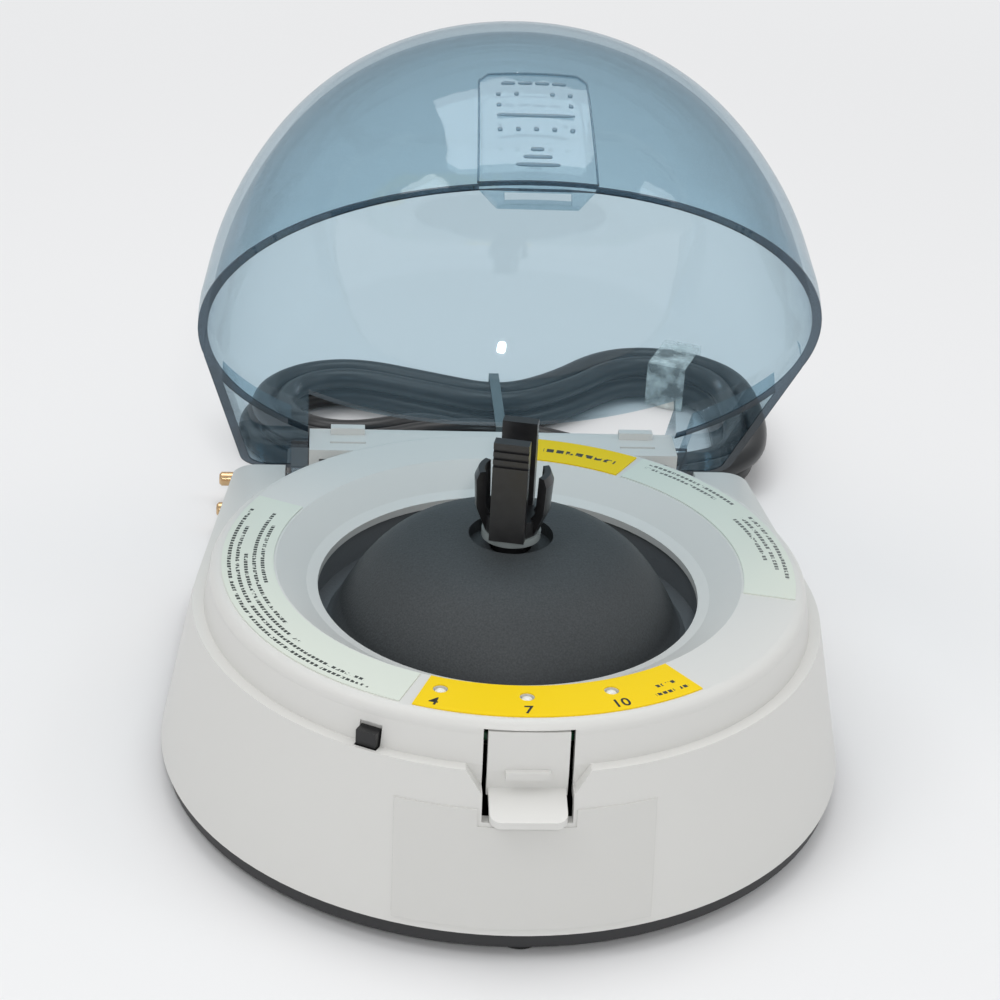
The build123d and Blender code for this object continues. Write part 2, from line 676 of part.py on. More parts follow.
# Printed films on the deck and the bare film on the skirt
film_top = deck_height + label_thickness
front_film = sector(53.9, 65.8, -21.5, 34.7, deck_height, film_top)
for x, y in lamp_places:
    front_film = front_film - rod(lamp_radius + 0.1, deck_height - 1, film_top + 1, x, y)
write("label_front", front_film)
write("label_left", sector(54.0, 65.8, -118.0, -24.0, deck_height, film_top))
write("label_rear", sector(53.9, 65.5, 147.0, 175.0, deck_height, film_top))
write("label_right", sector(54.0, 65.8, 76.0, 145.6, deck_height, film_top))


def cone_radius(height):
    return skirt_radius - (height - skirt_bottom) * math.tan(math.radians(skirt_taper))


film = turned([(cone_radius(sticker_low), sticker_low), (cone_radius(sticker_low) + label_thickness, sticker_low),
               (cone_radius(sticker_high) + label_thickness, sticker_high), (cone_radius(sticker_high), sticker_high)])
film = film & slab(-sticker_half_width, sticker_half_width, -100, 0, 0, sticker_high)
film = film - slab(-tongue_opening - 0.8, tongue_opening + 0.8, -100, 0, lip_window_floor - 0.8, sticker_high + 1)
write("skirt_label", film)


# Lid, built closed and then swung open about the hinge pins
def dome(radius, height):
    points = []
    for degrees in (0, 6, 14, 24, 35, 47, 59, 71, 81, 90):
        turn = math.radians(degrees)
        points.append((radius * math.sin(turn) ** (2 / dome_power_side), 0,
                       ledge_height + height * math.cos(turn) ** (2 / dome_power_top)))
    points[-1] = (radius, 0, ledge_height)
    curve = Spline(*points, tangents=[(1, 0, 0), (0, 0, -1)])
    foot = Line((radius, 0, ledge_height), (0, 0, ledge_height))
    axis = Line((0, 0, ledge_height), (0, 0, ledge_height + height))
    return revolve(outline_face([curve, foot, axis]), Axis.Z, 360)


def ear_plan(inset):
    corner = ear_corner_radius - inset
    return plan(ledge_radius - inset, ledge_flank_angle, ear_rear - inset, corner, ledge_height)[0]


lid_inner_radius = ledge_radius - lid_wall
dome_outside = dome(ledge_radius, dome_height)
dome_inside = dome(lid_inner_radius, dome_height - lid_wall)
behind_front = slab(-100, 100, 12, 100, 0, 200)
ear_outside = extrude(ear_plan(0), amount=ear_height, dir=(0, 0, 1))
ear_outside = fillet(ear_outside.edges().group_by(Axis.Z)[-1], ear_edge_round) & behind_front
ear_inside = extrude(ear_plan(lid_wall), amount=ear_height - ear_roof, dir=(0, 0, 1))
ear_inside = ear_inside - rod(ledge_radius, 0, 200)
pad_top = ledge_height + pad_height
pad_prism = polygon_y([(-pad_half_width_rim, ledge_height), (pad_half_width_rim, ledge_height),
                       (pad_half_width_top, pad_top - 2), (pad_half_width_top - 2, pad_top),
                       (2 - pad_half_width_top, pad_top), (-pad_half_width_top, pad_top - 2)], -100, -40)
pad = dome(ledge_radius + pad_proud, dome_height + pad_proud) & pad_prism
arm_inner = block_half_width + running_gap
arm_outer = arm_inner + arm_thickness
arm_top = ledge_height + ear_height - 1.0
arm = polygon_x([(48.0, ledge_height + 0.6), (48.0, arm_top), (ear_rear - 0.1, arm_top),
                 (ear_rear - 0.1, ledge_height), (pivot_y + boss_radius, pivot_z),
                 (pivot_y - boss_radius, pivot_z), (62.0, ledge_height + 0.6)], arm_inner, arm_outer)
arm = arm + rod_x(boss_radius, arm_inner, arm_outer, pivot_y, pivot_z)
tab = polygon_y([(-pad_half_width_rim, ledge_height), (-tab_half_width_tip, ledge_height - tab_drop),
                 (tab_half_width_tip, ledge_height - tab_drop), (pad_half_width_rim, ledge_height)],
                -100, -40)
tab_inner = tongue_face + 0.6
tab = tab & (rod(ledge_radius, 0, 60) - slab(-50, 50, -tab_inner, 100, 0, 60))
tab_root = slab(-tab_half_width_tip - 1, tab_half_width_tip + 1, -ledge_radius + 0.5, -tab_inner,
                ledge_height - 0.5, ledge_height + 1.5)
lid = dome_outside + ear_outside + pad
lid = lid - dome_inside - ear_inside
lid = lid - slab(-arm_inner, arm_inner, 30, 100, 0, ledge_height + rear_rim_rise)
lid = lid + (both_sides(arm) - dome_inside) + tab + tab_root
catch_low = ledge_height - tab_drop + catch_sill
lid = lid - slab(-catch_half_width, catch_half_width, -100, -40, catch_low, catch_low + catch_height)
lid = lid - both_sides(rod_x(pin_radius + fit_gap + 0.02, arm_inner - 1, arm_outer + 1, pivot_y, pivot_z))
write("lid", about_pivot(-lid_open_angle) * lid)

# Hinge pins pressed into the block, with small heads outside the arms
pins = []
for side in (-1, 1):
    ends = sorted((side * (pin_seat_inner + 1), side * (arm_outer + 0.2)))
    heads = sorted((side * (arm_outer + 0.2), side * (arm_outer + 1.0)))
    pin = rod_x(pin_radius, ends[0], ends[1], pivot_y, pivot_z)
    pins.append(pin + rod_x(pin_radius + 1.4, heads[0], heads[1], pivot_y, pivot_z))
write("hinge_pins", separate(pins))

# Rocker switch on the rear face: case with bezel, and the paddle tipped to off
bezel_face = slab(rocker_x - rocker_half_width - bezel_margin, rocker_x + rocker_half_width + bezel_margin,
                  block_rear, block_rear + bezel_proud, rocker_z - rocker_half_height - bezel_margin,
                  rocker_z + rocker_half_height + bezel_margin)
rocker_window = slab(rocker_x - rocker_half_width, rocker_x + rocker_half_width, block_rear - 8,
                     block_rear + bezel_proud + 1, rocker_z - rocker_half_height, rocker_z + rocker_half_height)
write("power_switch_case", rocker_case + bezel_face - rocker_window)
paddle_radius = rocker_half_width - 0.9
paddle_points = [(-paddle_radius, 0.5), (-paddle_radius, 2.6), (0, 1.4), (paddle_radius, 2.6),
                 (paddle_radius, 0.5), (2.5, -4.2), (-2.5, -4.2)]
paddle_face = outline_face(Polyline(*[(x, y, -rocker_half_height + 0.4) for x, y in paddle_points],
                                    close=True).edges())
paddle = extrude(paddle_face, amount=2 * rocker_half_height - 0.8, dir=(0, 0, 1))
rocker_axis_y = block_rear - 1.2
write("power_rocker", Pos(rocker_x, rocker_axis_y, rocker_z) * Rot(0, 0, -rocker_tilt) * paddle)

# Speed button beside it, in its own case
case = rod_y(button_case_radius, block_rear - button_case_depth, block_rear, button_x, button_z)
case = case + rod_y(button_flange_radius, block_rear, block_rear + 1.2, button_x, button_z)
case = case - rod_y(button_radius + 0.3, block_rear - 5, block_rear + 3, button_x, button_z)
write("speed_button_case", case)
button_front = block_rear - 5 + button_travel + 0.4
write("speed_button", rod_y(button_radius, button_front, block_rear + button_proud, button_x, button_z))

# Strain relief: flange, neck through the wall and a long taper
relief_end = block_rear + relief_length
taper = Solid.make_cone(relief_root_radius, relief_tip_radius, relief_length - relief_flange)
taper = Pos(cord_x, block_rear + relief_flange, cord_z) * Rot(-90, 0, 0) * taper
relief = rod_y(relief_flange_radius, block_rear, block_rear + relief_flange, cord_x, cord_z) + taper
relief = relief + rod_y(relief_neck_radius, block_rear - relief_neck, block_rear, cord_x, cord_z)
write("cord_strain_relief", relief)

# Mains cord: from the strain relief it drops to the table, runs round a tied hank and ends in a plug
lay_height = 3.8           # centre of the lower layer, lifted by the ties under it
layer_step = 6.8
loop_pitch = 6.8
plug_x = -17.0
plug_y = 116.7
plug_z = 7.0
plug_neck = 22.0

# One loop of the hank, clockwise from its front left, as laid on the table
loop_points = [(-26.5, 139), (-45.3, 139), (-60.6, 149.5), (-67.3, 166.9), (-63, 185), (-49.2, 197.5), (-30.7, 200),
               (-9, 190), (10, 181.5), (25, 190), (41.9, 208.3), (60.9, 212.4), (78.8, 204.9), (89.3, 188.6),
               (87.8, 146.5), (76, 130.8), (58.1, 124.6), (39.8, 129.5), (22, 142), (6, 148.5), (-10, 147)]
hank_turns = 3.76
reversal = (hank_turns + 0.1) / 2


def loop_point(step):
    count = len(loop_points)
    here = Vector(*loop_points[step % count])
    before = Vector(*loop_points[(step - 1) % count])
    after = Vector(*loop_points[(step + 1) % count])
    inward_a = Vector((here - before).Y, -(here - before).X).normalized()
    inward_b = Vector((after - here).Y, -(after - here).X).normalized()
    inward = (inward_a + inward_b).normalized()
    turns = step / count
    shift = loop_pitch * min(turns, 2 * reversal - turns)
    spot = here + inward * (shift / inward.dot(inward_a))
    layer = 0 if turns < reversal else 1
    return Vector(spot.X, spot.Y, lay_height + layer_step * layer)


last_step = round(hank_turns * len(loop_points))
hank_route = [loop_point(step) for step in range(last_step + 1)]
entry_route = [Vector(cord_x, relief_end, cord_z), Vector(cord_x, 119, cord_z), Vector(25, 135, 11.0),
               Vector(10, 143.2, 5.2), Vector(-8, 143.2, lay_height)]
exit_route = [Vector(42, 118.4, 8.0), Vector(23, plug_y, plug_z), Vector(plug_x + plug_neck, plug_y, plug_z)]
join_in = entry_route[-1] + (hank_route[0] - entry_route[-1]) / 2
join_out = hank_route[-1] + (exit_route[0] - hank_route[-1]) / 2


def bend_radii(points):
    radii = []
    for before, here, after in zip(points, points[1:], points[2:]):
        turn = (here - before).get_angle(after - here)
        shorter = min((here - before).length, (after - here).length)
        radii.append(0.45 * shorter / math.tan(math.radians(turn / 2)))
    return radii


def cord(points, name):
    radii = bend_radii(points)
    path = FilletPolyline(*points, radius=radii)
    start = Plane(origin=points[0], z_dir=points[1] - points[0])
    tube = sweep(start * Circle(cord_radius), path=path)
    length = path.length
    share = tube.volume / (math.pi * cord_radius ** 2 * length)
    smallest = min(radii) / (2 * cord_radius)
    print(name, "length", round(length, 1), "smallest bend, in diameters", round(smallest, 2), "volume", round(share, 4))
    print(name, "radii", [round(r, 1) for r in radii])
    return tube, path


entry_tube, entry_path = cord(entry_route + [join_in], "entry")
hank_tube, hank_path = cord([join_in] + hank_route + [join_out], "hank")
exit_tube, exit_path = cord([join_out] + exit_route, "exit")
write("supply_cord_entry", entry_tube)
write("supply_cord_hank", hank_tube)
write("supply_cord_plug_end", exit_tube)
print("cord length", round(entry_path.length + hank_path.length + exit_path.length, 1))

samples = 900
spots = [hank_path.position_at(i / samples) for i in range(samples + 1)]
apart = round(4 * cord_radius / (hank_path.length / samples))
least = min((spots[i] - spots[j]).length for i in range(samples + 1) for j in range(i + apart, samples + 1))
print("least gap of the hank to itself", round(least - 2 * cord_radius, 2))
crossing = min((entry_path.position_at(i / 200) - exit_path.position_at(j / 200)).length
               for i in range(201) for j in range(201))
print("gap where the two ends cross", round(crossing - 2 * cord_radius, 2))


# Wire tie round the waist and a clear band round the right-hand bow
def band(x, y, turn, across, width, thickness):
    high = lay_height + layer_step + cord_radius + 0.3
    low = lay_height - cord_radius - 0.1
    outer = slab(-width / 2, width / 2, -across / 2 - thickness, across / 2 + thickness, low - thickness, high + thickness)
    inner = slab(-width, width, -across / 2, across / 2, low, high)
    return Pos(x, y, 0) * Rot(0, 0, turn) * (outer - inner)


write("cord_tie", band(9.0, 166.5, 0, 37.0, 3.0, 0.5))
write("cord_band", band(67.3, 202.8, -22.7, 19.0, 12.0, 0.5))

# Two-pin plug lying flat: body, rear neck, pins with sleeves
plug_half_width = 17.6
plug_half_height = 6.9
plug_length = 36.0
pin_half_spacing = 9.3
plug_pin_radius = 2.0
plug_pin_length = 19.0
sleeve_length = 10.0
plug_front = plug_x - plug_length
body_points = [(plug_front, -plug_half_width), (plug_front + 16, -plug_half_width), (plug_x, -6.5), (plug_x, 6.5),
               (plug_front + 16, plug_half_width), (plug_front, plug_half_width)]
body_face = outline_face(Polyline(*[(x, plug_y + y, plug_z - plug_half_height) for x, y in body_points],
                                  close=True).edges())
plug_body = extrude(body_face, amount=2 * plug_half_height, dir=(0, 0, 1))
plug_body = fillet(plug_body.edges().group_by(Axis.Z)[-1] + plug_body.edges().group_by(Axis.Z)[0], 2.0)
neck = Solid.make_cone(5.6, 4.2, plug_neck)
plug_body = plug_body + Pos(plug_x, plug_y, plug_z) * Rot(0, 90, 0) * neck
pins_y = [plug_y - pin_half_spacing, plug_y + pin_half_spacing]
write("plug_body", plug_body)
pin_tip = plug_front - plug_pin_length
sleeve_end = plug_front - sleeve_length
plug_pins = []
for y in pins_y:
    pin = rod_x(plug_pin_radius, pin_tip, sleeve_end, y, plug_z) + rod_x(1.5, sleeve_end, plug_front, y, plug_z)
    plug_pins.append(chamfer(pin.faces().sort_by(Axis.X)[0].edges(), 0.6))
write("plug_pins", separate(plug_pins))
sleeves = [rod_x(plug_pin_radius, sleeve_end, plug_front, y, plug_z)
           - rod_x(1.5, sleeve_end - 1, plug_front + 1, y, plug_z) for y in pins_y]
write("plug_pin_sleeves", separate(sleeves))
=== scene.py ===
import math
import bpy
from mathutils import Matrix, Vector


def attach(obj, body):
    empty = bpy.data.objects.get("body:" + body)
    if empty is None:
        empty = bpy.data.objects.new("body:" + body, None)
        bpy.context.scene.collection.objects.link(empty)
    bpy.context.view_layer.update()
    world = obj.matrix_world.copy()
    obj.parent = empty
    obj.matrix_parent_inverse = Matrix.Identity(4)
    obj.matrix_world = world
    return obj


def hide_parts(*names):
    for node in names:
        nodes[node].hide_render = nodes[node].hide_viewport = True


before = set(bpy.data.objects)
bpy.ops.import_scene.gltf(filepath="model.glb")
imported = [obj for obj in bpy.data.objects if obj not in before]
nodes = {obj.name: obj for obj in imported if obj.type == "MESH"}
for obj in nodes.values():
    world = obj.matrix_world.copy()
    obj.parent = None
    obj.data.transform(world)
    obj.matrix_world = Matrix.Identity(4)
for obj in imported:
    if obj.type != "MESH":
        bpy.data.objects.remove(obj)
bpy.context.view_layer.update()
mm = 0.001
print("frame loaded,", len(nodes), "CAD nodes")


# small helpers
def deselectAll():
    if bpy.context.object and bpy.context.object.mode != "OBJECT":
        bpy.ops.object.mode_set(mode="OBJECT")
    bpy.ops.object.select_all(action="DESELECT")


def finishPiece(piece, name, material, body):
    piece.name = name
    piece.data.name = name
    bpy.ops.object.transform_apply(location=True, rotation=True, scale=True)
    piece.data.materials.clear()
    piece.data.materials.append(material)
    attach(piece, body)
    return piece


def fromFront(radius, degrees, height):
    turn = math.radians(degrees)  # seen from above, positive towards the right
    return Vector((radius * math.sin(turn) * mm, -radius * math.cos(turn) * mm, height * mm))


class Wire:
    # a shader socket that adds, multiplies and compares like a number
    def __init__(self, tree, socket):
        self.tree = tree
        self.socket = socket

    # a new node in the same tree: inputs in order or by name, settings first
    def made(self, kind, inputs=(), output=0, **settings):
        node = self.tree.nodes.new(kind)
        for key, value in settings.items():
            setattr(node, key, value)
        for place, value in inputs.items() if isinstance(inputs, dict) else enumerate(inputs):
            if isinstance(value, Wire):
                self.tree.links.new(value.socket, node.inputs[place])
            elif value is not None:
                node.inputs[place].default_value = value
        return Wire(self.tree, node.outputs[output])

    def maths(self, operation, *values):
        return self.made("ShaderNodeMath", values, operation=operation)

    def __add__(self, other):
        return self.maths("ADD", self, other)

    def __radd__(self, other):
        return self.maths("ADD", other, self)

    def __sub__(self, other):
        return self.maths("SUBTRACT", self, other)

    def __rsub__(self, other):
        return self.maths("SUBTRACT", other, self)

    def __mul__(self, other):
        return self.maths("MULTIPLY", self, other)

    def __rmul__(self, other):
        return self.maths("MULTIPLY", other, self)

    def __truediv__(self, other):
        return self.maths("DIVIDE", self, other)

    def __lt__(self, other):
        return self.maths("LESS_THAN", self, other)

    def __gt__(self, other):
        return self.maths("GREATER_THAN", self, other)

    def __abs__(self):
        return self.maths("ABSOLUTE", self)


class Finish:
    # one material: its shader, the place on the object, and what feeds it
    def __init__(self, name, color, roughness, metallic=0.0):
        self.material = bpy.data.materials.new(name)
        self.material.use_nodes = True
        self.tree = self.material.node_tree
        self.shader = self.tree.nodes["Principled BSDF"]
        self.shader.inputs["Base Color"].default_value = (*color, 1)
        self.shader.inputs["Roughness"].default_value = roughness
        self.shader.inputs["Metallic"].default_value = metallic
        self.surface = Wire(self.tree, self.shader.outputs[0])
        self.place = self.surface.made("ShaderNodeTexCoord", output="Object")

    def noise(self, scale, detail):
        return self.place.made("ShaderNodeTexNoise", (self.place, None, scale, detail))

    def axes(self):
        split = self.place.made("ShaderNodeSeparateXYZ", (self.place,))
        return [Wire(self.tree, socket) for socket in split.socket.node.outputs]

    def fromMiddle(self):  # distance from the upright middle line, in metres
        x, y = self.axes()[:2]
        return self.place.maths("SQRT", x * x + y * y)

    def clamped(self, wire):
        return self.place.made("ShaderNodeClamp", (wire,))

    def smallest(self, wire, limit):
        return self.place.maths("MINIMUM", wire, limit)

    def blend(self, share, low, high):  # two colours, each fixed or wired
        low, high = (value if isinstance(value, Wire) else (*value, 1) for value in (low, high))
        return self.place.made("ShaderNodeMix", {0: share, 6: low, 7: high}, 2, data_type="RGBA")

    def feed(self, name, wire):
        self.tree.links.new(wire.socket, self.shader.inputs[name])

    def bump(self, height, strength, distance):
        relief = {"Strength": strength, "Distance": distance, "Height": height}
        self.feed("Normal", self.place.made("ShaderNodeBump", relief))

    def plainShader(self, kind, color):
        return self.place.made(kind, ((*color, 1),))

    def mixed(self, share, first, second):  # one shader over another, share from 0 to 1
        return self.place.made("ShaderNodeMixShader", (share, first, second))

    def show(self, wire):
        self.tree.links.new(wire.socket, self.tree.nodes["Material Output"].inputs["Surface"])


grainLook = {"cloud": 28.0, "cloudDetail": 4.0, "fineDetail": 2.0, "glossSpread": 0.12}


# a moulded or painted surface: cloudy in tone and gloss, with a fine grain in relief (depth in metres)
def grained(name, color, roughness, spread, grain, depth, strength, metallic=0.0):
    finish = Finish(name, color, roughness, metallic)
    cloud = finish.noise(grainLook["cloud"], grainLook["cloudDetail"])
    fine = finish.noise(grain, grainLook["fineDetail"])
    dark = tuple(c * (1 - spread) for c in color)
    finish.feed("Base Color", finish.blend(cloud, dark, color))
    glossiest = roughness - grainLook["glossSpread"] / 2
    finish.feed("Roughness", glossiest + cloud * grainLook["glossSpread"])
    finish.bump(fine, strength, depth)
    return finish


def dress(material, *names):
    for name in names:
        mesh = nodes[name].data
        mesh.materials.clear()
        mesh.materials.append(material)


def dressGrained(name, names, **look):
    dress(grained(name, **look).material, *names)


# moulded shell, latch, base
shell = {"color": (0.72, 0.715, 0.69), "roughness": 0.42, "spread": 0.03, "grain": 1500.0,
         "depth": 0.00003, "strength": 0.22}
shellFinish = grained("warmWhiteShell", **shell)
dress(shellFinish.material, "upper_housing", "latch_tongue")

# the cover's dull black is speckled, and painted paler from the shoulder outwards: painted light that lifts
# the shade falling in the trough by the lip (metres from the middle)
cover = {"color": (0.040, 0.045, 0.048), "roughness": 0.6, "spread": 0.25, "grain": 1500.0,
         "depth": 0.00012, "strength": 0.6}
coverSpeck = {"grain": 2400.0, "dark": 0.45, "pale": 1.65}
coverPaintedLight = {"color": (0.17, 0.18, 0.19), "from": 0.0385, "rate": 400.0}
coverFinish = grained("sparkBlackCover", **cover)
fromMiddle = coverFinish.fromMiddle()
# painted light: share of a paler colour past the shoulder, brightening the shaded trough by the lip
paintedLightShare = coverFinish.clamped((fromMiddle - coverPaintedLight["from"]) * coverPaintedLight["rate"])
speck = coverFinish.noise(coverSpeck["grain"], 2.0)
darkSpeck = tuple(c * coverSpeck["dark"] for c in cover["color"])
paleSpeck = tuple(c * coverSpeck["pale"] for c in cover["color"])
coverTone = coverFinish.blend(speck, darkSpeck, paleSpeck)
coverFinish.feed("Base Color", coverFinish.blend(paintedLightShare, coverTone, coverPaintedLight["color"]))
dress(coverFinish.material, "bowl_cover")

dressGrained("darkMoulding",
             ("base_plate", "power_switch_case", "speed_button_case", "lid_switch", "motor_end_cap"),
             color=(0.028, 0.028, 0.03), roughness=0.5, spread=0.15, grain=1400.0, depth=0.00005,
             strength=0.3)

dressGrained("plungerBlack", ("interlock_plunger",), color=(0.008, 0.008, 0.009), roughness=0.35,
             spread=0.1, grain=1200.0, depth=0.00002, strength=0.2)
print("shell, cover and base dressed")


# hub, screws, motor, boards
hub = {"color": (0.010, 0.010, 0.011), "dark": (0.006, 0.006, 0.007), "worn": (0.022, 0.022, 0.024),
       "roughness": 0.3, "glossiest": 0.22, "wearSpread": 0.22, "grain": 420.0, "specular": 0.6,
       "strength": 0.15, "depth": 0.00003}
hubFinish = Finish("hubBlack", hub["color"], hub["roughness"])
wear = hubFinish.noise(hub["grain"], 5.0)
hubFinish.feed("Base Color", hubFinish.blend(wear, hub["dark"], hub["worn"]))
hubFinish.feed("Roughness", hub["glossiest"] + wear * hub["wearSpread"])
hubFinish.bump(wear, hub["strength"], hub["depth"])
hubFinish.shader.inputs["Specular IOR Level"].default_value = hub["specular"]
dress(hubFinish.material, "drive_hub")

dressGrained("milkyWasher", ("hub_washer",), color=(0.32, 0.36, 0.36), roughness=0.25, spread=0.2,
             grain=700.0, depth=0.00002, strength=0.2)

steel = {"color": (0.56, 0.56, 0.55), "roughness": 0.3, "glossiest": 0.22, "spread": 0.2, "grain": 1800.0,
         "strength": 0.15, "depth": 0.00001}
steelFinish = Finish("plainSteel", steel["color"], steel["roughness"], 1.0)
brushed = steelFinish.noise(steel["grain"], 2.0)
steelFinish.feed("Roughness", steel["glossiest"] + brushed * steel["spread"])
steelFinish.bump(brushed, steel["strength"], steel["depth"])
dress(steelFinish.material, "bowl_cover_screws", "base_screws", "motor_bearings", "motor_carrier_plate",
      "motor_standoffs", "carrier_screws", "motor_screws", "board_screws", "display_screws",
      "plunger_spring", "hub_screw", "motor_shaft")
dressGrained("blackenedPin", ("hinge_pins",), color=(0.03, 0.03, 0.032), roughness=0.28, spread=0.2,
             grain=900.0, depth=0.00001, strength=0.2, metallic=0.6)
dressGrained("motorCan", ("motor_can",), color=(0.42, 0.42, 0.40), roughness=0.38, spread=0.1, grain=700.0,
             depth=0.00001, strength=0.2, metallic=0.9)
dressGrained("sinteredMagnet", ("motor_rotor",), color=(0.09, 0.09, 0.095), roughness=0.6, spread=0.3,
             grain=1600.0, depth=0.00004, strength=0.4, metallic=0.3)

dressGrained("lacqueredBoard", ("main_board", "display_board"), color=(0.02, 0.14, 0.06), roughness=0.3,
             spread=0.3, grain=350.0, depth=0.00002, strength=0.2)
dressGrained("transformerTape", ("board_transformer",), color=(0.72, 0.52, 0.05), roughness=0.4,
             spread=0.15, grain=500.0, depth=0.00002, strength=0.3)
dressGrained("capacitorSleeve", ("board_capacitors",), color=(0.02, 0.025, 0.07), roughness=0.25,
             spread=0.15, grain=600.0, depth=0.00001, strength=0.2)
dressGrained("connectorWhite", ("board_connector",), color=(0.75, 0.75, 0.7), roughness=0.4, spread=0.06,
             grain=900.0, depth=0.00002, strength=0.2)
dressGrained("softRubber", ("feet", "rubber_isolators"), color=(0.016, 0.016, 0.016), roughness=0.7,
             spread=0.3, grain=1500.0, depth=0.00006, strength=0.4)
dressGrained("lampLens", ("indicator_lamps",), color=(0.86, 0.86, 0.82), roughness=0.2, spread=0.05,
             grain=500.0, depth=0.00001, strength=0.1)
dressGrained("glossyRocker", ("power_rocker",), color=(0.014, 0.014, 0.015), roughness=0.18, spread=0.1,
             grain=700.0, depth=0.00001, strength=0.1)
dressGrained("greyButton", ("speed_button",), color=(0.24, 0.26, 0.28), roughness=0.28, spread=0.08,
             grain=900.0, depth=0.00002, strength=0.2)
print("hub, motor, boards and controls dressed")


# smoked lid: lengths in millimetres, places those of the lid standing open
lidLook = {"tint": (0.769, 0.858, 0.900), "rimTint": (0.10, 0.135, 0.17), "rimHeight": 41.6,
           "rimSpread": 0.35, "openAngle": 49.8, "pivotY": 71.0, "pivotZ": 33.1,
           "gloss": (0.92, 0.96, 1.0), "roughness": 0.035,
           "haze": (0.30, 0.42, 0.50), "hazeShare": 0.028,
           "ripple": 14.0, "rippleStrength": 0.05, "rippleDepth": 0.002,
           "reliefTint": (0.55, 0.65, 0.70), "reliefHaze": 0.40,
           "edgingTint": (0.58, 0.68, 0.73), "edgingHaze": 0.12}
lidShine = {"slantPower": 3.0, "slantShare": 0.36, "shine": 0.05, "edgePower": 5.0, "edgeShare": 0.5,
            "most": 0.5}


def smokedLid(name, tint, haze):
    finish = Finish(name, lidLook["gloss"], lidLook["roughness"], 1.0)
    y, z = finish.axes()[1:]
    turn = math.radians(lidLook["openAngle"])
    pivotY, pivotZ = lidLook["pivotY"] * mm, lidLook["pivotZ"] * mm
    closedHeight = (y - pivotY) * math.sin(turn) + (z - pivotZ) * math.cos(turn) + pivotZ
    rim = abs(closedHeight - lidLook["rimHeight"] * mm) < lidLook["rimSpread"] * mm
    facing = finish.place.made("ShaderNodeLayerWeight", (0.5,), 1)  # same from both sides of the wall
    slant = finish.place.maths("POWER", facing, lidShine["slantPower"]) * lidShine["slantShare"]
    darker = finish.smallest(rim + slant, 1.0)  # a slanting look passes through more of the wall
    finish.bump(finish.noise(lidLook["ripple"], 2.0), lidLook["rippleStrength"], lidLook["rippleDepth"])
    clear = finish.plainShader("ShaderNodeBsdfTransparent", tint)
    dark = finish.plainShader("ShaderNodeBsdfTransparent", lidLook["rimTint"])
    tinted = finish.mixed(darker, clear, dark)
    edge = finish.place.maths("POWER", facing, lidShine["edgePower"]) * lidShine["edgeShare"]
    shine = finish.smallest(lidShine["shine"] + edge, lidShine["most"])
    glossy = finish.mixed(shine, tinted, finish.surface)
    scattering = finish.plainShader("ShaderNodeBsdfDiffuse", lidLook["haze"])
    finish.show(finish.mixed(haze, glossy, scattering))
    return finish


smoked = smokedLid("smokedClear", lidLook["tint"], lidLook["hazeShare"])
relief = smokedLid("smokedRelief", lidLook["reliefTint"], lidLook["reliefHaze"])  # scatters more light
edging = smokedLid("smokedEdging", lidLook["edgingTint"], lidLook["edgingHaze"])
dress(smoked.material, "lid")


# raised marks on the lid's press pad: rows of dots at a rise,
# and bars as (rise, across, half length, half width)
padMarks = {"radius": 73.33, "foot": 41.6, "height": 69.4, "powerSide": 2.95, "powerTop": 1.64,
            "proud": 0.30, "dotHalf": (0.5, 0.42), "rounding": 0.55, "probe": 0.1,
            "dots": ((13.6, (-7.6, -3.8, 0.0, 3.8, 7.6)), (20.6, (-7.6, 7.6)),
                     (23.8, (-7.6, -3.8, 3.8, 7.6))),
            "bars": ((17.4, 0.0, 8.2, 0.35), (27.2, -5.4, 1.5, 0.35), (27.2, -1.8, 1.5, 0.35),
                     (27.2, 1.8, 1.5, 0.35), (27.2, 5.4, 1.5, 0.35), (8.2, 0.0, 1.4, 0.4),
                     (6.2, 0.0, 3.0, 0.4), (4.2, 0.0, 4.6, 0.4))}


def domeSurface(x, z):
    risen = max(0.0, z - padMarks["foot"]) / padMarks["height"]
    share = max(0.0, 1 - risen ** padMarks["powerTop"])
    reach = padMarks["radius"] * share ** (1 / padMarks["powerSide"])
    return Vector((x, -math.sqrt(max(0.0, reach * reach - x * x)), z))


# place, outward normal and sideways run on the closed lid's pad, turned to where the open lid stands
def padSpot(across, rise):
    probe = padMarks["probe"]
    height = padMarks["foot"] + rise
    sideways = domeSurface(across + probe, height) - domeSurface(across - probe, height)
    upwards = domeSurface(across, height + probe) - domeSurface(across, height - probe)
    normal = sideways.cross(upwards).normalized()
    swing = Matrix.Rotation(-math.radians(lidLook["openAngle"]), 4, "X")
    hinge = Vector((0, lidLook["pivotY"], lidLook["pivotZ"]))
    spot = swing @ (domeSurface(across, height) - hinge) + hinge
    return spot * mm, (swing @ normal).normalized(), (swing @ sideways).normalized()


def padMark(name, across, rise, halfLength, halfWidth):
    spot, normal, along = padSpot(across, rise)
    deselectAll()
    bpy.ops.mesh.primitive_cube_add(size=2)
    mark = bpy.context.object
    bpy.ops.object.mode_set(mode="EDIT")
    bpy.ops.mesh.bevel(offset=padMarks["rounding"], segments=3)
    bpy.ops.object.mode_set(mode="OBJECT")
    mark.scale = (halfLength * mm, halfWidth * mm, padMarks["proud"] * mm)
    mark.rotation_mode = "QUATERNION"
    mark.rotation_quaternion = Matrix((along, normal.cross(along), normal)).transposed().to_quaternion()
    mark.location = spot
    finishPiece(mark, name, relief.material, "lid_body")
    bpy.ops.object.shade_smooth()
    return mark


marks = [padMark("padDot", x, rise, *padMarks["dotHalf"])
         for rise, places in padMarks["dots"] for x in places]
marks += [padMark("padBar", x, rise, half, width) for rise, x, half, width in padMarks["bars"]]
deselectAll()
for mark in marks:
    mark.select_set(True)
bpy.context.view_layer.objects.active = marks[0]
bpy.ops.object.join()
bpy.context.object.name = "padEmbossing"


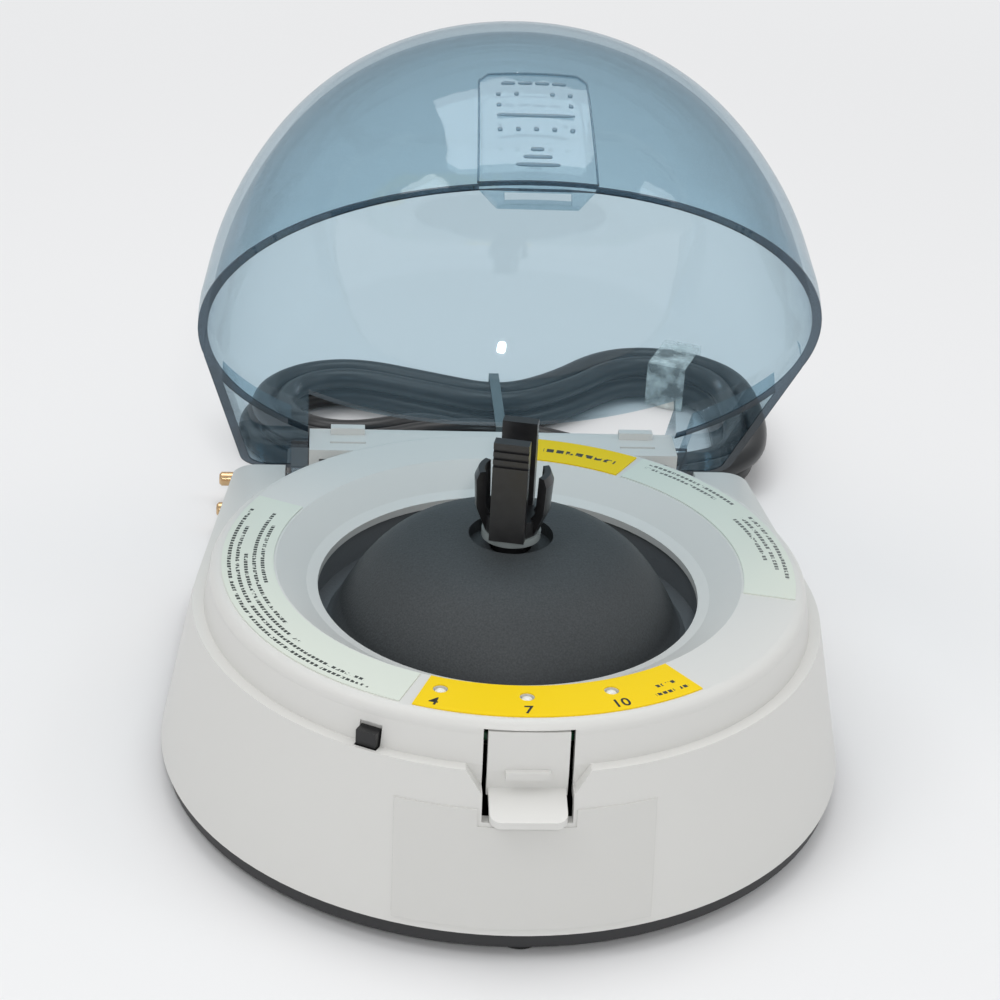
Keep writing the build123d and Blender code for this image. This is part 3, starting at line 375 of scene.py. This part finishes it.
# outline of the pad, up one side, over the top and down the other
padHalf = {"rim": 12.4, "top": 11.5, "rise": 30.4, "sideRise": 28.4, "corner": 2, "line": 0.24,
           "sideSteps": 14, "topSteps": 10}


def padEdge(name, spots):
    edge = bpy.data.curves.new(name, "CURVE")
    edge.dimensions = "3D"
    run = edge.splines.new("POLY")
    run.points.add(len(spots) - 1)
    for point, (across, rise) in zip(run.points, spots):
        point.co = (*padSpot(across, rise)[0], 1)
    edge.bevel_depth = padHalf["line"] * mm
    edge.bevel_resolution = 2
    piece = bpy.data.objects.new(name, edge)
    bpy.context.scene.collection.objects.link(piece)
    edge.materials.append(edging.material)
    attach(piece, "lid_body")


rimHalf, topHalf, sideSteps, topSteps = (padHalf[k] for k in ("rim", "top", "sideSteps", "topSteps"))
leftRun = [(-rimHalf + (rimHalf - topHalf) * k / sideSteps, padHalf["sideRise"] * k / sideSteps)
           for k in range(sideSteps + 1)]
topEnd = topHalf - padHalf["corner"]
topRun = [(-topEnd + 2 * topEnd * k / topSteps, padHalf["rise"]) for k in range(topSteps + 1)]
padEdge("padOutline", leftRun + topRun + [(-x, rise) for x, rise in reversed(leftRun)])
print("lid dressed,", len(marks), "raised marks")


# printed films
filmLook = {"yellow": (0.97, 0.67, 0.0), "pale": (0.74, 0.78, 0.70), "ink": (0.05, 0.055, 0.05),
            "paleInk": (0.16, 0.17, 0.16), "roughness": 0.42, "specular": 0.25, "patchy": 0.96,
            "cloud": 40.0, "strength": 0.1, "depth": 0.0001}
dashLook = {"share": 0.72, "offset": 0.37, "grain": 650.0, "gaps": 0.40}


# film with arcs of short printed dashes: each line is (radius, from degrees, to degrees, half width)
def printedFilm(name, color, lines, dashPitch, ink):
    finish = Finish(name, color, filmLook["roughness"])
    finish.shader.inputs["Specular IOR Level"].default_value = filmLook["specular"]
    x, y = finish.axes()[:2]
    radius = finish.place.maths("SQRT", x * x + y * y)
    azimuth = finish.place.maths("ARCTAN2", x, 0.0 - y) * (180 / math.pi)
    breaks = finish.noise(dashLook["grain"], 1.0) > dashLook["gaps"]
    printed = 0.0
    for lineRadius, start, end, half in lines:
        across = abs(radius - lineRadius * mm) < half * mm
        along = (azimuth > start) * (azimuth < end)
        phase = finish.place.maths("FRACT", azimuth / dashPitch + lineRadius * dashLook["offset"])
        dash = (phase < dashLook["share"]) * breaks
        printed = printed + across * along * dash
    cloud = finish.noise(filmLook["cloud"], 2.0)
    paper = finish.blend(cloud, tuple(c * filmLook["patchy"] for c in color), color)
    finish.feed("Base Color", finish.blend(finish.smallest(printed, 1.0), paper, ink))
    finish.bump(cloud, filmLook["strength"], filmLook["depth"])
    return finish


# each film: its finish, colour, pitch of the dashes in degrees, ink and lines
films = {"label_left": ("paleFilmLeft", filmLook["pale"], 1.1, filmLook["ink"],
                        ((64.1, -112.0, -31.0, 0.42), (62.2, -104.0, -33.0, 0.42),
                         (60.3, -92.0, -52.0, 0.42), (58.4, -112.0, -60.0, 0.42),
                         (56.5, -106.0, -78.0, 0.42))),
         "label_right": ("paleFilmRight", filmLook["pale"], 1.2, filmLook["paleInk"],
                         ((63.9, 118.0, 143.0, 0.45), (61.9, 122.0, 143.0, 0.45),
                          (64.0, 84.0, 112.0, 0.45), (62.0, 88.0, 112.0, 0.45),
                          (60.0, 92.0, 112.0, 0.45))),
         "label_front": ("yellowFilmFront", filmLook["yellow"], 1.2, filmLook["ink"],
                         ((60.4, 27.0, 32.0, 0.5), (63.2, 25.5, 33.5, 0.5))),
         "label_rear": ("yellowFilmRear", filmLook["yellow"], 2.4, filmLook["ink"],
                        ((59.6, 150.0, 168.0, 0.9),))}
for piece, (name, color, dashPitch, ink, lines) in films.items():
    dress(printedFilm(name, color, lines, dashPitch, ink).material, piece)
dressGrained("bareFilm", ("skirt_label",), color=(0.675, 0.67, 0.645), roughness=0.22, spread=0.02,
             grain=700.0, depth=0.00001, strength=0.1)

numbers = {"size": 4.025, "radius": 63.4, "height": 51.225, "thick": 0.02, "bolder": 0.06,
           "places": (("4", -18.0), ("7", 0.0), ("10", 18.0))}
inkFinish = grained("printingInk", color=(0.02, 0.022, 0.02), roughness=0.4, spread=0.1, grain=900.0,
                    depth=0.00001, strength=0.1)
for text, degrees in numbers["places"]:
    deselectAll()
    bpy.ops.object.text_add(location=fromFront(numbers["radius"], degrees, numbers["height"]),
                            rotation=(0, 0, math.radians(degrees)))
    figure = bpy.context.object
    figure.data.body = text
    figure.data.size = numbers["size"] * mm
    figure.data.align_x = "CENTER"
    figure.data.align_y = "CENTER"
    figure.data.extrude = numbers["thick"] * mm
    figure.data.offset = numbers["bolder"] * mm
    bpy.ops.object.convert(target="MESH")
    figure = bpy.context.object
    finishPiece(figure, "speedNumber" + text, inkFinish.material, "body")
print("films printed")


# cord, plug and ties
# the lead's route, in millimetres as the solids have it: out of the strain relief, round the hank in
# two layers, then to the plug
cordLook = {"radius": 3.1, "lay": 3.8, "step": 6.8, "pitch": 6.8, "turns": 3.76, "spare": 0.1,
            "length": 1.5758}
loopPoints = [(-26.5, 139), (-45.3, 139), (-60.6, 149.5), (-67.3, 166.9), (-63, 185), (-49.2, 197.5),
              (-30.7, 200), (-9, 190), (10, 181.5), (25, 190), (41.9, 208.3), (60.9, 212.4),
              (78.8, 204.9), (89.3, 188.6), (87.8, 146.5), (76, 130.8), (58.1, 124.6), (39.8, 129.5),
              (22, 142), (6, 148.5), (-10, 147)]
entryRoute = [(30, 105.5, 16), (30, 119, 16), (25, 135, 11.0), (10, 143.2, 5.2), (-8, 143.2, 3.8)]
exitRoute = [(42, 118.4, 8.0), (23, 116.7, 7.0), (5, 116.7, 7.0)]


def hankPoint(step):
    count = len(loopPoints)
    here, before, after = (Vector(loopPoints[(step + k) % count]) for k in (0, -1, 1))
    inwardA = Vector(((here - before).y, -(here - before).x)).normalized()
    inwardB = Vector(((after - here).y, -(after - here).x)).normalized()
    inward = (inwardA + inwardB).normalized()
    turns = step / count
    turnBack = (cordLook["turns"] + cordLook["spare"]) / 2
    shift = cordLook["pitch"] * min(turns, 2 * turnBack - turns)
    spot = here + inward * (shift / inward.dot(inwardA))
    return (spot.x, spot.y, cordLook["lay"] + cordLook["step"] * (0 if turns < turnBack else 1))


lastStep = round(cordLook["turns"] * len(loopPoints))
route = entryRoute + [hankPoint(step) for step in range(lastStep + 1)] + exitRoute
line = bpy.data.curves.new("mainsCord", "CURVE")
line.dimensions = "3D"
spline = line.splines.new("NURBS")
spline.points.add(len(route) - 1)
for point, spot in zip(spline.points, route):
    point.co = (spot[0] * mm, spot[1] * mm, spot[2] * mm, 1)
spline.order_u = 3
spline.use_endpoint_u = True
spline.resolution_u = 8
line.bevel_depth = cordLook["radius"] * mm
line.bevel_resolution = 5
line.use_fill_caps = True
mainsCord = bpy.data.objects.new("mainsCord", line)
bpy.context.scene.collection.objects.link(mainsCord)
cordFinish = grained("cordSheath", color=(0.007, 0.009, 0.011), roughness=0.34, spread=0.25, grain=900.0,
                     depth=0.00004, strength=0.3)
line.materials.append(cordFinish.material)
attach(mainsCord, "body")
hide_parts("supply_cord_entry", "supply_cord_hank", "supply_cord_plug_end")
dress(cordFinish.material, "cord_strain_relief", "plug_body", "plug_pin_sleeves")
dressGrained("plugBrass", ("plug_pins",), color=(0.72, 0.50, 0.28), roughness=0.25, spread=0.15,
             grain=900.0, depth=0.00001, strength=0.2, metallic=1.0)
dressGrained("tiePlastic", ("cord_tie",), color=(0.10, 0.145, 0.16), roughness=0.3, spread=0.1, grain=600.0,
             depth=0.00003, strength=0.3)


# crumpled clear band: whiter in its creases
bandLook = {"color": (0.9, 0.95, 0.93), "roughness": 0.12, "grain": 160.0, "contrast": 2.6, "cut": 0.95,
            "least": 0.12, "most": 0.85, "strength": 0.9, "depth": 0.002}
bandFinish = Finish("clearBand", bandLook["color"], bandLook["roughness"])
crease = bandFinish.noise(bandLook["grain"], 3.0)
bandFinish.bump(crease, bandLook["strength"], bandLook["depth"])
veil = bandFinish.place.maths("MAXIMUM", crease * bandLook["contrast"] - bandLook["cut"], bandLook["least"])
bandFinish.feed("Alpha", bandFinish.smallest(veil, bandLook["most"]))
dress(bandFinish.material, "cord_band")
print("cord laid,", len(route), "points")


# floor, light and camera
stageLook = {"floor": (0.85, 0.85, 0.855), "far": (0.835, 0.84, 0.85), "fadeFrom": 0.32, "fadeRate": 2.2,
             "air": (0.98, 0.99, 1.0), "airStrength": 0.60, "size": 60.0, "drop": 0.0003, "roughness": 0.7,
             "specular": 0.2}
deselectAll()
bpy.ops.mesh.primitive_plane_add(size=stageLook["size"], location=(0, 0, -stageLook["drop"]))
floor = bpy.context.object
floor.name = "studioFloor"
floorFinish = Finish("studioPaper", stageLook["floor"], stageLook["roughness"])
floorFinish.shader.inputs["Specular IOR Level"].default_value = stageLook["specular"]
fade = floorFinish.clamped((floorFinish.fromMiddle() - stageLook["fadeFrom"]) * stageLook["fadeRate"])
cameraRay, glossyRay, clearRay = (floorFinish.place.made("ShaderNodeLightPath", output=name)
                                  for name in ("Is Camera Ray", "Is Glossy Ray", "Is Transmission Ray"))
looked = floorFinish.smallest(cameraRay + glossyRay + clearRay, 1.0)
paperGlow = floorFinish.plainShader("ShaderNodeEmission", stageLook["far"])
floorFinish.show(floorFinish.mixed(fade * looked, floorFinish.surface, paperGlow))
floor.data.materials.append(floorFinish.material)

world = bpy.data.worlds.new("studio")
bpy.context.scene.world = world
world.use_nodes = True
air = world.node_tree
background = air.nodes["Background"]
background.inputs[0].default_value = (*stageLook["air"], 1)
background.inputs[1].default_value = stageLook["airStrength"]
airLight = Wire(air, background.outputs[0])
backdrop = airLight.made("ShaderNodeBackground", ((*stageLook["far"], 1), 1.0))
byCamera = airLight.made("ShaderNodeLightPath", output="Is Camera Ray")
chosen = airLight.made("ShaderNodeMixShader", (byCamera, airLight, backdrop))
air.links.new(chosen.socket, air.nodes["World Output"].inputs["Surface"])

# each lamp: name, place, width, depth, watts
lamps = (("softboxLeft", (-0.75, -0.25, 1.2), 0.45, 0.6, 2.4),
         ("softboxRight", (0.95, -0.1, 1.0), 0.4, 0.5, 1.3),
         ("softboxTop", (0.0, 0.40, 1.35), 0.9, 0.8, 5.6),
         ("flashBySight", (-0.015, -0.62, 0.46), 0.035, 0.035, 0.75))
lampAim = Vector((0, 0.03, 0.05))
for name, place, width, depth, power in lamps:
    light = bpy.data.lights.new(name, "AREA")
    light.shape = "RECTANGLE"
    light.size = width
    light.size_y = depth
    light.energy = power
    holder = bpy.data.objects.new(name, light)
    holder.location = place
    holder.rotation_mode = "QUATERNION"
    holder.rotation_quaternion = (lampAim - Vector(place)).to_track_quat("-Z", "Y")
    bpy.context.scene.collection.objects.link(holder)

# the photograph's camera: place in millimetres, angles in degrees
sight = {"place": (-44.173, -475.474, 313.728), "yaw": 4.955, "pitch": 27.336, "roll": 3.213, "lens": 85.27}
yaw, pitch, roll = (math.radians(sight[k]) for k in ("yaw", "pitch", "roll"))
ahead = Vector((math.sin(yaw) * math.cos(pitch), math.cos(yaw) * math.cos(pitch), -math.sin(pitch)))
side = Vector((math.cos(yaw), -math.sin(yaw), 0))
above = side.cross(ahead)
right = side * math.cos(roll) + above * math.sin(roll)
up = above * math.cos(roll) - side * math.sin(roll)
camera = bpy.data.objects.new("camera", bpy.data.cameras.new("camera"))
camera.data.lens = sight["lens"]
camera.data.sensor_width = 36.0
camera.data.clip_start = 0.01
camera.data.clip_end = 50
turned = Matrix((right, up, -ahead)).transposed().to_4x4()
camera.matrix_world = Matrix.Translation(Vector(sight["place"]) * mm) @ turned
bpy.context.scene.collection.objects.link(camera)
bpy.context.scene.camera = camera
bpy.context.scene.view_settings.view_transform = "Standard"
print("camera, light and floor set")
